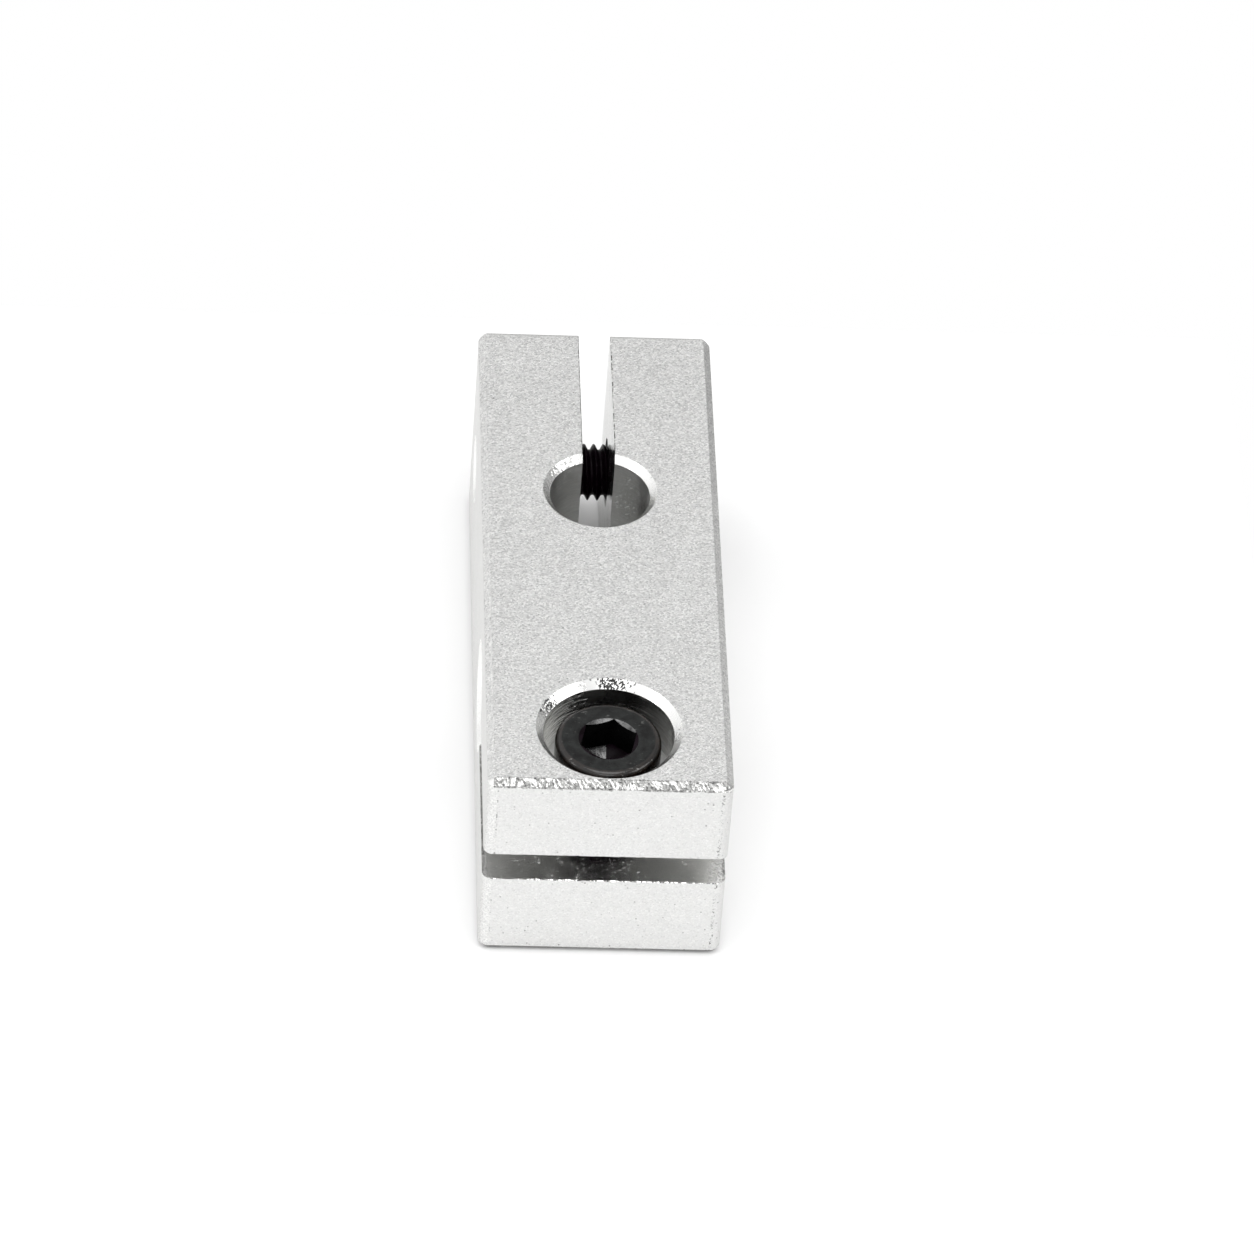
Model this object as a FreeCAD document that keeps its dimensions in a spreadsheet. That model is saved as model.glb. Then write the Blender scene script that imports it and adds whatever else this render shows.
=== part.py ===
import FreeCAD, Part
import os
import Sketcher

# Shaft cross clamp: an aluminium block that grips two round shafts at right angles.
# The block lies along Y and stands on its bottom face, with the origin at the middle of that face.
# Its front end (-Y) has a level slit and a bore along X, closed by an upright cap screw.
# Its rear end (+Y) has an upright slit and a bore along Z, closed by a cap screw along X.

# Driving dimensions in millimetres, and one angle in degrees
SIZES = {
    # the block
    "block_width": "19",
    "block_height": "18",
    "block_length": "54",
    "corner_radius": "0.9",
    "edge_chamfer": "0.55",
    # the two shaft bores and the slits that open them to the ends
    "shaft_diameter": "8",
    "shaft_clearance": "0.025",
    "bore_from_end": "19.5",
    "bore_chamfer": "0.55",
    "slit_width": "2.6",
    # the two screw passages: counterbore, clearance hole, tapped hole
    "front_screw_from_end": "6.4",
    "rear_screw_from_end": "7",
    "counterbore_diameter": "10.2",
    "counterbore_depth": "4.6",
    "counterbore_chamfer": "0.6",
    "passage_diameter": "5.7",
    "thread_clearance": "0.05",
    "tapped_chamfer": "0.3",
    # the low-head cap screw, used twice
    "thread_diameter": "4.9",
    "screw_length": "12",
    "tip_chamfer": "0.6",
    "head_diameter": "8.3",
    "head_height": "3.5",
    "head_chamfer": "0.3",
    "socket_flats": "4",
    "socket_depth": "2.4",
    "socket_rim": "0.36",
    "socket_turn": "18",
}

doc = FreeCAD.newDocument("ShaftCrossClamp")
sheet = doc.addObject("Spreadsheet::Sheet", "Sizes")
for row, (alias, value) in enumerate(SIZES.items(), start=1):
    sheet.set(f"A{row}", alias)
    sheet.set(f"B{row}", value)
    sheet.setAlias(f"B{row}", alias)
doc.recompute()


def size(formula):
    """The sizes' names in a formula, written as the sheet's cells."""
    words = formula.split()
    return " ".join(f"Sizes.{word}" if word in SIZES else word for word in words)


def value_of(formula):
    """The number that a formula of sizes gives now."""
    return float(sheet.evalExpression(size(formula)))


def new_body(label):
    body = doc.addObject("PartDesign::Body", label)
    body.Label = label
    return body


def outline(body, name, plane, origin, corners):
    """A closed sketch of straight lines on one of the body's planes, with its own origin there.

    The origin and the corners are formulas of sizes, and every corner's coordinate is 0 or more.
    """
    sketch = body.newObject("Sketcher::SketchObject", name)
    support = next(f for f in body.Origin.OriginFeatures if f.Role == plane)
    sketch.AttachmentSupport = [(support, "")]
    sketch.MapMode = "FlatFace"
    for axis, formula in zip("xyz", origin):
        sketch.setExpression(f"AttachmentOffset.Base.{axis}", size(formula))
    points = [FreeCAD.Vector(value_of(x), value_of(y), 0) for x, y in corners]
    for start, end in zip(points, points[1:] + points[:1]):
        sketch.addGeometry(Part.LineSegment(start, end))
    count = len(points)
    for line in range(count):
        sketch.addConstraint(Sketcher.Constraint("Coincident", line, 2, (line + 1) % count, 1))
    for line, (point, corner) in enumerate(zip(points, corners)):
        for kind, distance, formula, zero_axis in (
            ("DistanceX", point.x, corner[0], -2),
            ("DistanceY", point.y, corner[1], -1),
        ):
            if formula == "0":
                sketch.addConstraint(Sketcher.Constraint("PointOnObject", line, 1, zero_axis))
                continue
            index = sketch.addConstraint(Sketcher.Constraint(kind, -1, 1, line, 1, distance))
            sketch.setExpression(f"Constraints[{index}]", size(formula))
    doc.recompute()
    return sketch


def feature(body, kind, name, sketch, **settings):
    """A sketch-based feature of the body, such as a pad or a groove."""
    made = body.newObject(f"PartDesign::{kind}", name)
    made.Profile = sketch
    for setting, value in settings.items():
        setattr(made, setting, value)
    sketch.Visibility = False
    doc.recompute()
    return made


def dress_up(body, kind, name, base, edges, size_property, formula):
    """A fillet or chamfer on edges of the body's last feature."""
    made = body.newObject(f"PartDesign::{kind}", name)
    made.Base = (base, edges)
    made.setExpression(size_property, size(formula))
    doc.recompute()
    return made


def edge_names(shape, wanted):
    return [f"Edge{number}" for number, edge in enumerate(shape.Edges, start=1) if wanted(edge)]


def is_upright(edge):
    start, end = edge.Vertexes[0].Point, edge.Vertexes[-1].Point
    return abs(start.z - end.z) > edge.Length / 2


def is_level(edge):
    return edge.BoundBox.ZLength < 1e-6


def cut_round(body, name, plane, origin, axis, corners):
    """A round hole turned about one of its sketch's own axes."""
    sketch = outline(body, f"{name}_profile", plane, origin, corners)
    return feature(body, "Groove", name, sketch, ReferenceAxis=(sketch, [axis]), Angle=360)


BORE_RADIUS = "( shaft_diameter / 2 + shaft_clearance )"
COUNTERBORE_RADIUS = "( counterbore_diameter / 2 )"
TAPPED_RADIUS = "( thread_diameter / 2 + thread_clearance )"
FRONT_SCREW_Y = "( - block_length / 2 + front_screw_from_end )"
REAR_SCREW_Y = "( block_length / 2 - rear_screw_from_end )"
FRONT_BORE_Y = "( - block_length / 2 + bore_from_end )"
REAR_BORE_Y = "( block_length / 2 - bore_from_end )"


def bore_profile(length):
    """Radius and height of a shaft bore with a chamfer at each mouth."""
    mouth = f"{BORE_RADIUS} + bore_chamfer"
    return [
        ("0", "0"),
        (mouth, "0"),
        (BORE_RADIUS, "bore_chamfer"),
        (BORE_RADIUS, f"{length} - bore_chamfer"),
        (mouth, length),
        ("0", length),
    ]


def passage_profile(length):
    """Radius and height of a screw passage: tapped in the lower jaw, counterbored in the upper."""
    seat = f"{length} - counterbore_depth"
    return [
        ("0", "0"),
        (f"{TAPPED_RADIUS} + tapped_chamfer", "0"),
        (TAPPED_RADIUS, "tapped_chamfer"),
        (TAPPED_RADIUS, f"{length} / 2"),
        ("passage_diameter / 2", f"{length} / 2"),
        ("passage_diameter / 2", seat),
        (COUNTERBORE_RADIUS, seat),
        (COUNTERBORE_RADIUS, f"{length} - counterbore_chamfer"),
        (f"{COUNTERBORE_RADIUS} + counterbore_chamfer", length),
        ("0", length),
    ]


def turned_over(corners):
    """The same profile for a hole that lies along the sketch's horizontal axis."""
    return [(height, radius) for radius, height in corners]


def make_block():
    block = new_body("clamp_block")

    # the bar, with round upright corners and chamfered top and bottom outlines
    plan = outline(
        block, "block_plan", "XY_Plane",
        ("- block_width / 2", "- block_length / 2", "0"),
        [("0", "0"), ("block_width", "0"), ("block_width", "block_length"), ("0", "block_length")],
    )
    bar = feature(block, "Pad", "bar", plan)
    bar.setExpression("Length", size("block_height"))
    doc.recompute()
    corners = dress_up(
        block, "Fillet", "round_corners", bar,
        edge_names(bar.Shape, is_upright), "Radius", "corner_radius",
    )
    dress_up(
        block, "Chamfer", "broken_edges", corners,
        edge_names(corners.Shape, is_level), "Size", "edge_chamfer",
    )

    # front end: bore along X, level slit, screw passage along Z
    cut_round(
        block, "front_bore", "XY_Plane",
        ("- block_width / 2", FRONT_BORE_Y, "block_height / 2"),
        "H_Axis", turned_over(bore_profile("block_width")),
    )
    level_slit = outline(
        block, "front_slit_outline", "YZ_Plane",
        ("- block_length / 2", "block_height / 2 - slit_width / 2", "0"),
        [("0", "0"), ("bore_from_end", "0"), ("bore_from_end", "slit_width"), ("0", "slit_width")],
    )
    feature(block, "Pocket", "front_slit", level_slit, Type="ThroughAll", Midplane=True)
    cut_round(
        block, "front_passage", "YZ_Plane",
        (FRONT_SCREW_Y, "0", "0"),
        "V_Axis", passage_profile("block_height"),
    )

    # rear end: bore along Z, upright slit, screw passage along X
    cut_round(
        block, "rear_bore", "YZ_Plane",
        (REAR_BORE_Y, "0", "0"),
        "V_Axis", bore_profile("block_height"),
    )
    upright_slit = outline(
        block, "rear_slit_outline", "XY_Plane",
        ("- slit_width / 2", REAR_BORE_Y, "0"),
        [("0", "0"), ("slit_width", "0"), ("slit_width", "bore_from_end"), ("0", "bore_from_end")],
    )
    feature(block, "Pocket", "rear_slit", upright_slit, Type="ThroughAll", Reversed=True)
    cut_round(
        block, "rear_passage", "XY_Plane",
        ("- block_width / 2", REAR_SCREW_Y, "block_height / 2"),
        "H_Axis", turned_over(passage_profile("block_width")),
    )
    return block


def make_screw(label):
    """A low-head cap screw along its own Z, tip at the origin, with a hexagon socket."""
    screw = new_body(label)
    shank, head = "thread_diameter / 2", "head_diameter / 2"
    top = "( screw_length + head_height )"
    turned = outline(
        screw, f"{label}_profile", "XZ_Plane", ("0", "0", "0"),
        [
            ("0", "0"),
            (f"{shank} - tip_chamfer", "0"),
            (shank, "tip_chamfer"),
            (shank, "screw_length"),
            (head, "screw_length"),
            (head, f"{top} - head_chamfer"),
            (f"{head} - head_chamfer", top),
            ("0", top),
        ],
    )
    feature(screw, "Revolution", f"{label}_blank", turned, ReferenceAxis=(turned, ["V_Axis"]), Angle=360)

    # the hexagon, with two of its corners on the sketch's horizontal axis
    corner, flat = "( socket_flats / sqrt(3) )", "( socket_flats / 2 )"
    hexagon = outline(
        screw, f"{label}_hexagon", "XY_Plane",
        (f"- {corner}", f"- {flat}", top),
        [
            (f"2 * {corner}", flat),
            (f"1.5 * {corner}", f"2 * {flat}"),
            (f"0.5 * {corner}", f"2 * {flat}"),
            ("0", flat),
            (f"0.5 * {corner}", "0"),
            (f"1.5 * {corner}", "0"),
        ],
    )
    socket = feature(screw, "Pocket", f"{label}_socket", hexagon)
    socket.setExpression("Length", size("socket_depth"))
    doc.recompute()

    # the countersunk rim of the socket and the drill point below its floor, both at 30 degrees
    floor = f"( {top} - socket_depth )"
    cut_round(
        screw, f"{label}_socket_rim", "XZ_Plane", ("0", "0", "0"), "V_Axis",
        [
            ("0", f"{top} - socket_rim * tan(30deg)"),
            (flat, f"{top} - socket_rim * tan(30deg)"),
            (f"{flat} + socket_rim", top),
            ("0", top),
        ],
    )
    cut_round(
        screw, f"{label}_drill_point", "XZ_Plane", ("0", "0", "0"), "V_Axis",
        [("0", f"{floor} - {flat} * tan(30deg)"), (flat, floor), ("0", floor)],
    )
    return screw


def place(body, turn, base):
    """Turns a body, and ties its base point to formulas of sizes."""
    body.Placement = FreeCAD.Placement(FreeCAD.Vector(0, 0, 0), turn)
    for axis, formula in zip("xyz", base):
        body.setExpression(f"Placement.Base.{axis}", size(formula))


def make_screws():
    socket_turn = FreeCAD.Rotation(FreeCAD.Vector(0, 0, 1), value_of("socket_turn"))
    head_to_right = FreeCAD.Rotation(FreeCAD.Vector(0, 1, 0), 90)
    tip_depth = "( counterbore_depth + screw_length )"

    front = make_screw("front_clamp_screw")
    place(front, socket_turn, ("0", FRONT_SCREW_Y, f"block_height - {tip_depth}"))
    rear = make_screw("rear_clamp_screw")
    place(
        rear, head_to_right.multiply(socket_turn),
        (f"block_width / 2 - {tip_depth}", REAR_SCREW_Y, "block_height / 2"),
    )
    return [front, rear]


def check(parts):
    for item in doc.Objects:
        if "Invalid" in item.State or "Error" in item.State:
            raise RuntimeError(f"{item.Label} failed: {item.State}")
    for part in parts:
        shape = part.Shape
        if shape.isNull() or not shape.isValid() or len(shape.Solids) != 1:
            raise RuntimeError(f"{part.Label} is not one valid solid")
        print(f"{part.Label}: {shape.Volume:.1f} mm3, {len(shape.Faces)} faces")


parts = [make_block()] + make_screws()
doc.recompute()
check(parts)
os.makedirs("parts", exist_ok=True)
for part in parts:
    part.Shape.exportStep(f"parts/{part.Label}.step")
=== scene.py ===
import math
import bmesh
import bpy
from mathutils import Matrix, Vector, noise


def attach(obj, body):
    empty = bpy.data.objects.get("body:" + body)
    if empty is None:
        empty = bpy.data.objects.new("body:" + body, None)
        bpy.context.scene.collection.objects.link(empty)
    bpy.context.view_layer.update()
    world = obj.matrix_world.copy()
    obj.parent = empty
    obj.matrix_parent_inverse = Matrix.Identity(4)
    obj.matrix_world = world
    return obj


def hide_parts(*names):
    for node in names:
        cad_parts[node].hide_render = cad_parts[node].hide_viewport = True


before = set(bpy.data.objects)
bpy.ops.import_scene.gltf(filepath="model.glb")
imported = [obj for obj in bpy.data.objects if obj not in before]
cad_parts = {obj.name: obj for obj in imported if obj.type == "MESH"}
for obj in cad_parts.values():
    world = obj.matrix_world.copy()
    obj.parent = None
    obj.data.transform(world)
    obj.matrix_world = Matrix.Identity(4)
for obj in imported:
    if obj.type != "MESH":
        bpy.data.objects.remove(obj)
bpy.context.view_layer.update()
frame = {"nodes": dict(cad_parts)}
scene = bpy.context.scene
scene.view_settings.view_transform = "Standard"
mm = 0.001  # meshes are drawn in millimetres, then brought to metres
print("frame loaded:", ", ".join(frame["nodes"]))


# Camera

cameraSet = {
    "aim": (2.449, 0.385, 9.649),  # mm
    "distance": 608.0,  # mm
    "elevation": 41.97,
    "yaw": 4.69,  # to the left of the block's long axis
    "roll": 4.60,
    "lens": 217.4,
    "sensor": 36.0,
    "clip": (0.01, 10.0),  # m
}


def makeCamera():
    data = bpy.data.cameras.new("photoCamera")
    data.sensor_width = cameraSet["sensor"]
    data.lens = cameraSet["lens"]
    data.clip_start, data.clip_end = cameraSet["clip"]
    camera = bpy.data.objects.new("photoCamera", data)
    scene.collection.objects.link(camera)
    aim = Matrix.Translation(Vector(cameraSet["aim"]) * mm)
    turn = Matrix.Rotation(math.radians(-cameraSet["yaw"]), 4, "Z")
    tilt = Matrix.Rotation(math.radians(90 - cameraSet["elevation"]), 4, "X")
    roll = Matrix.Rotation(math.radians(cameraSet["roll"]), 4, "Z")
    away = Matrix.Translation((0, 0, cameraSet["distance"] * mm))
    camera.matrix_world = aim @ turn @ tilt @ roll @ away
    scene.camera = camera


makeCamera()
print("camera placed")


# Node helpers

noiseTurn = (0.7, 0.5, 0.3)  # keeps the noise's own grid off the faces


def addNode(tree, kind, sockets=None, **settings):
    made = tree.nodes.new(kind)
    for name, value in settings.items():
        setattr(made, name, value)
    for name, value in (sockets or {}).items():
        if isinstance(value, bpy.types.NodeSocket):
            tree.links.new(value, made.inputs[name])
        else:
            made.inputs[name].default_value = value
    return made


def newMaterial(name):
    material = bpy.data.materials.new(name)
    material.use_nodes = True
    tree = material.node_tree
    tree.nodes.clear()
    return material, tree


def maths(tree, operation, *values):
    return addNode(tree, "ShaderNodeMath", dict(enumerate(values)), operation=operation).outputs[0]


def coordinate(tree, vector, axis):
    return addNode(tree, "ShaderNodeSeparateXYZ", {0: vector}).outputs[axis]


def spread(tree, value, low, high, toLow=0.0, toHigh=1.0):
    sockets = {"Value": value, "From Min": low, "From Max": high, "To Min": toLow, "To Max": toHigh}
    return addNode(tree, "ShaderNodeMapRange", sockets).outputs[0]


def blendColours(tree, factor, first, second):
    sockets = {0: factor, 6: first, 7: second}
    return addNode(tree, "ShaderNodeMix", sockets, data_type="RGBA").outputs[2]


def noiseField(tree, coords, size, detail=2.0, rough=0.6, stretch=(1, 1, 1)):
    # size is that of one speck in mm, longer by stretch along each axis
    scale = [1.0 / (size * mm * s) for s in stretch]
    placed = addNode(tree, "ShaderNodeMapping", {"Vector": coords, "Scale": scale})
    turned = addNode(tree, "ShaderNodeMapping", {"Vector": placed.outputs[0], "Rotation": noiseTurn})
    sockets = {"Vector": turned.outputs[0], "Scale": 1.0, "Detail": detail, "Roughness": rough}
    return addNode(tree, "ShaderNodeTexNoise", sockets).outputs["Fac"]


def patches(tree, coords, look):
    # look: size of a patch in mm, noise levels where it starts and is full, and what they become
    size, *limits = look
    return spread(tree, noiseField(tree, coords, size), *limits)


def craterField(tree, coords, size):
    # round dents of about this size in mm: distance from each dent's middle, and a chance value per dent
    cells = addNode(tree, "ShaderNodeTexVoronoi", {"Vector": coords, "Scale": 1.0 / (size * mm)})
    chance = addNode(tree, "ShaderNodeSeparateColor", {0: cells.outputs["Color"]})
    return cells.outputs["Distance"], chance.outputs[0]


# Light and floor

studioSet = {
    "level": 0.68,
    "towards": (-0.36, -0.05, 0.21),  # brighter to the left, a little to the front, and above
    "white": (1, 1, 1, 1),
    "backdrop": 1.0,
    "floorColour": (0.92, 0.92, 0.92, 1.0),
    "floorGlow": 0.02,
    "floorSheet": ((-0.16, -0.26), (0.056, 0.05)),  # two corners, m
    "floorDrop": 0.02,  # mm, keeps it clear of the underside
    "lamps": {
        "overheadLamp": {"place": (0.0, -0.07, 0.70), "size": 0.40, "power": 1.15},
        "leftLamp": {"place": (-0.55, -0.12, 0.38), "size": 0.06, "power": 0.20},
        "rightLamp": {"place": (0.55, -0.14, 0.36), "size": 0.42, "power": 1.25},
        "frontLamp": {"place": (-0.05, -0.60, 0.52), "size": 0.35, "power": 0.72},
    },
}


def makeLight():
    world = bpy.data.worlds.new("studio")
    scene.world = world
    world.use_nodes = True
    tree = world.node_tree
    tree.nodes.clear()
    white = studioSet["white"]
    facing = addNode(tree, "ShaderNodeTexCoord").outputs["Generated"]
    sockets = {0: facing, 1: studioSet["towards"]}
    dot = addNode(tree, "ShaderNodeVectorMath", sockets, operation="DOT_PRODUCT")
    level = maths(tree, "ADD", dot.outputs["Value"], studioSet["level"])
    soft = addNode(tree, "ShaderNodeBackground", {"Color": white, "Strength": level})
    plain = addNode(tree, "ShaderNodeBackground", {"Color": white, "Strength": studioSet["backdrop"]})
    seen = addNode(tree, "ShaderNodeLightPath").outputs["Is Camera Ray"]
    mixed = addNode(tree, "ShaderNodeMixShader", {0: seen, 1: soft.outputs[0], 2: plain.outputs[0]})
    addNode(tree, "ShaderNodeOutputWorld", {"Surface": mixed.outputs[0]})


def makeLamp(name, look):
    data = bpy.data.lights.new(name, "AREA")
    data.size = look["size"]
    data.energy = look["power"]
    lamp = bpy.data.objects.new(name, data)
    lamp.location = look["place"]
    lamp.rotation_euler = Vector(look["place"]).to_track_quat("Z", "Y").to_euler()
    scene.collection.objects.link(lamp)


def makeFloor():
    material, tree = newMaterial("paleFloor")
    base = addNode(tree, "ShaderNodeBsdfDiffuse", {"Color": studioSet["floorColour"]})
    path = addNode(tree, "ShaderNodeLightPath").outputs
    seen = maths(tree, "MAXIMUM", path["Is Camera Ray"], path["Is Glossy Ray"])
    seen = maths(tree, "MAXIMUM", seen, path["Is Transmission Ray"])
    strength = maths(tree, "MULTIPLY", seen, studioSet["floorGlow"])
    glow = addNode(tree, "ShaderNodeEmission", {"Color": studioSet["white"], "Strength": strength})
    both = addNode(tree, "ShaderNodeAddShader", {0: base.outputs[0], 1: glow.outputs[0]})
    addNode(tree, "ShaderNodeOutputMaterial", {"Surface": both.outputs[0]})
    (x0, y0), (x1, y1) = studioSet["floorSheet"]
    mesh = bpy.data.meshes.new("floor")
    corners = [(x0, y0, 0), (x1, y0, 0), (x1, y1, 0), (x0, y1, 0)]
    mesh.from_pydata(corners, [], [(0, 1, 2, 3)])
    mesh.materials.append(material)
    floor = bpy.data.objects.new("floor", mesh)
    floor.location.z = -studioSet["floorDrop"] * mm
    scene.collection.objects.link(floor)


makeLight()
for lampName, lampLook in studioSet["lamps"].items():
    makeLamp(lampName, lampLook)
makeFloor()
print("light and floor made")


# Finishes of the block

bareMetal = {
    "stretch": (1, 1, 1),
    "warmth": (0.99, 0.985),  # blue's share of the dark and the bright tone
    "flatGloss": 1.0,  # below 1, duller where it is seen at a flat angle
    "softEdge": 0.03,  # mm
    "edgeWear": 0.2,
    "nicks": 0.0,  # depth of scratches, mm
    "blasted": False,
    "slitEnds": False,
}

finishSet = {  # grain and relief in mm
    "blastedAluminium": {
        **bareMetal, "grain": 0.115, "relief": 0.030, "tone": (0.60, 1.0), "roughness": (0.32, 0.42),
        "warmth": (0.9917, 0.99), "flatGloss": 0.8, "softEdge": 0.09, "edgeWear": 0.80, "blasted": True,
    },
    "boredUpright": {
        **bareMetal, "grain": 0.15, "relief": 0.012, "tone": (0.76, 0.90), "roughness": (0.28, 0.38),
        "stretch": (16, 16, 1), "nicks": 0.03,
    },
    "boredLevel": {
        **bareMetal, "grain": 0.15, "relief": 0.012, "tone": (0.76, 0.90), "roughness": (0.28, 0.38),
        "stretch": (1, 16, 16), "nicks": 0.03,
    },
    # the lit side of the counterbore's wall; counterboreShade is its painted-shade copy
    "counterboreWall": {
        **bareMetal, "grain": 0.18, "relief": 0.055, "tone": (0.80, 0.98), "roughness": (0.14, 0.24),
        "stretch": (16, 16, 1), "nicks": 0.02,
    },
    # painted shade: dark copy of counterboreWall for the side in shade and reflecting the dark head
    "counterboreShade": {
        **bareMetal, "grain": 0.18, "relief": 0.026, "tone": (0.26, 0.46), "roughness": (0.22, 0.34),
        "stretch": (16, 16, 1),
    },
    "sawnLevel": {
        **bareMetal, "grain": 0.13, "relief": 0.005, "tone": (0.88, 0.99), "roughness": (0.19, 0.27),
        "stretch": (8, 2, 1), "edgeWear": 0.3, "nicks": 0.03, "slitEnds": True,
    },
    "sawnUpright": {
        **bareMetal, "grain": 0.13, "relief": 0.003, "tone": (0.70, 0.84), "roughness": (0.10, 0.16),
        "stretch": (1, 2, 8), "flatGloss": 0.75, "edgeWear": 0.3, "nicks": 0.02,
    },
    "brightChamfer": {
        **bareMetal, "grain": 0.16, "relief": 0.012, "tone": (0.90, 0.97), "roughness": (0.20, 0.30),
    },
    "rubbedCorner": {
        **bareMetal, "grain": 0.26, "relief": 0.026, "tone": (0.60, 0.92), "roughness": (0.30, 0.40),
        "flatGloss": 0.85, "softEdge": 0.06, "edgeWear": 0.5,
    },
    "tornMetal": {
        **bareMetal, "grain": 0.34, "relief": 0.040, "tone": (0.08, 0.66), "roughness": (0.30, 0.50),
        "softEdge": 0.02, "edgeWear": 0.0,
    },
    "rubbedChamfer": {
        **bareMetal, "grain": 0.12, "relief": 0.030, "tone": (0.24, 0.82), "roughness": (0.32, 0.48),
        "softEdge": 0.02, "edgeWear": 0.0,
    },
    # torn flecks painted dark: painted shade of burrs and pits in the mouths and along the slit edges
    "darkFleck": {
        **bareMetal, "grain": 0.10, "relief": 0.030, "tone": (0.02, 0.16), "roughness": (0.40, 0.60),
        "softEdge": 0.02, "edgeWear": 0.0,
    },
}

wearSet = {  # sizes in mm; patches as the function of that name takes them
    "wearAndShade": (0.13, 0.13, 0.125, 1),  # colour of what is bruised or torn, and of the painted shade in pits and along the foot
    "cloud": 3.0, "cloudLevels": (0.35, 0.65),
    "fineShare": 0.35, "fineLevels": (0.30, 0.70),
    "edgeLevels": (0.995, 0.90), "edgePatches": (0.30, 0.38, 0.62), "edgeSamples": 6,
    "chatterLine": (8.74, 0.13), "chatterFrom": 26.5,
    "chatterDots": (0.15, 0.52, 0.60, 0.0, 0.95), "chatterPatches": (0.9, 0.44, 0.58),
    "speckAndGlintContrast": (0.3, 0.9, 1.8, 11.0), "speckMiddle": 0.48,
    "pitSize": 0.21, "pitShare": (0.05, 0.0, 0.0, 0.9), "pitReach": (0.46, 0.22),
    "footShadeBand": (0.22, 0.20), "footShadePatches": (0.5, 0.25, 0.55, 0.70, 1.0),
    "burrReach": (9.12, 9.32), "burrPatches": (0.17, 0.40, 0.56, 0.20, 0.95),
    "nickTurn": (0.4, 0.5, 0.8), "nickSize": 0.12, "nickStretch": (4, 1.2, 1), "nickLevels": (0.66, 0.72),
    "nickPatches": (1.5, 0.52, 0.60), "nickDots": (0.72, 0.76),
    "frostReach": (7.6, 9.3), "frostPatches": (0.16, 0.48, 0.58, 0.0, 0.8),
}


def edgeMask(tree, coords, look):
    # bruises along the edges of the mesh, and the normal that rounds those edges
    sockets = {"Radius": look["softEdge"] * mm}
    rounded = addNode(tree, "ShaderNodeBevel", sockets, samples=wearSet["edgeSamples"]).outputs[0]
    plain = addNode(tree, "ShaderNodeNewGeometry").outputs["Normal"]
    dot = addNode(tree, "ShaderNodeVectorMath", {0: rounded, 1: plain}, operation="DOT_PRODUCT")
    edges = spread(tree, dot.outputs["Value"], *wearSet["edgeLevels"])
    edges = maths(tree, "MULTIPLY", edges, patches(tree, coords, wearSet["edgePatches"]))
    return maths(tree, "MULTIPLY", edges, look["edgeWear"]), rounded


def chatterMask(tree, coords):
    # dotted lines where the rounded upright edges meet the end faces
    middle, half = wearSet["chatterLine"]
    across = maths(tree, "ABSOLUTE", coordinate(tree, coords, "X"))
    along = maths(tree, "ABSOLUTE", coordinate(tree, coords, "Y"))
    line = maths(tree, "COMPARE", across, middle * mm, half * mm)
    end = maths(tree, "GREATER_THAN", along, wearSet["chatterFrom"] * mm)
    dots = patches(tree, coords, wearSet["chatterDots"])
    broad = patches(tree, coords, wearSet["chatterPatches"])
    return maths(tree, "MULTIPLY", maths(tree, "MULTIPLY", line, end), maths(tree, "MULTIPLY", dots, broad))


def speckAndGlintMask(tree, chance):
    # dark to bright from dent to dent, strongly on level faces and faintly on upright ones: the grain's own
    # tone, with painted glints in the bright tail and painted pit shade in the dark tail; the stronger
    # contrast on level faces is painted light too
    normal = addNode(tree, "ShaderNodeTexCoord").outputs["Normal"]
    level = maths(tree, "ABSOLUTE", coordinate(tree, normal, "Z"))
    contrast = spread(tree, level, *wearSet["speckAndGlintContrast"])
    offset = maths(tree, "SUBTRACT", chance, 0.5)
    cubed = maths(tree, "MULTIPLY", offset, maths(tree, "MULTIPLY", offset, offset))
    return maths(tree, "MULTIPLY_ADD", cubed, contrast, wearSet["speckMiddle"])


def pitShadeMask(tree, coords):
    # painted shade: a few dark spots for the shade in pits of mixed depth
    away, chance = craterField(tree, coords, wearSet["pitSize"])
    depth = spread(tree, chance, *wearSet["pitShare"])
    dot = spread(tree, away, *wearSet["pitReach"])
    return maths(tree, "MULTIPLY", maths(tree, "MULTIPLY", depth, depth), dot)


def footShadeMask(tree, coords):
    # painted contact shade: a darker band in patches along the lower edge, just above the face that the
    # block stands on
    middle, half = wearSet["footShadeBand"]
    band = maths(tree, "COMPARE", coordinate(tree, coords, "Z"), middle * mm, half * mm)
    return maths(tree, "MULTIPLY", band, patches(tree, coords, wearSet["footShadePatches"]))


def burrMask(tree, coords):
    # dark torn rim where the level slit comes out at the sides
    start, full = wearSet["burrReach"]
    across = maths(tree, "ABSOLUTE", coordinate(tree, coords, "X"))
    rim = spread(tree, across, start * mm, full * mm)
    return maths(tree, "MULTIPLY", rim, patches(tree, coords, wearSet["burrPatches"]))


def nickMask(tree, coords):
    # a few fine scratches, in patches, and scattered specks
    size = wearSet["nickSize"]
    sockets = {"Vector": coords, "Rotation": wearSet["nickTurn"]}
    turned = addNode(tree, "ShaderNodeMapping", sockets).outputs[0]
    lines = noiseField(tree, turned, size, 1.0, 0.5, wearSet["nickStretch"])
    lines = spread(tree, lines, *wearSet["nickLevels"])
    lines = maths(tree, "MULTIPLY", lines, patches(tree, coords, wearSet["nickPatches"]))
    dots = spread(tree, noiseField(tree, coords, size, 1.0, 0.5), *wearSet["nickDots"])
    return maths(tree, "MAXIMUM", lines, dots)


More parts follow.
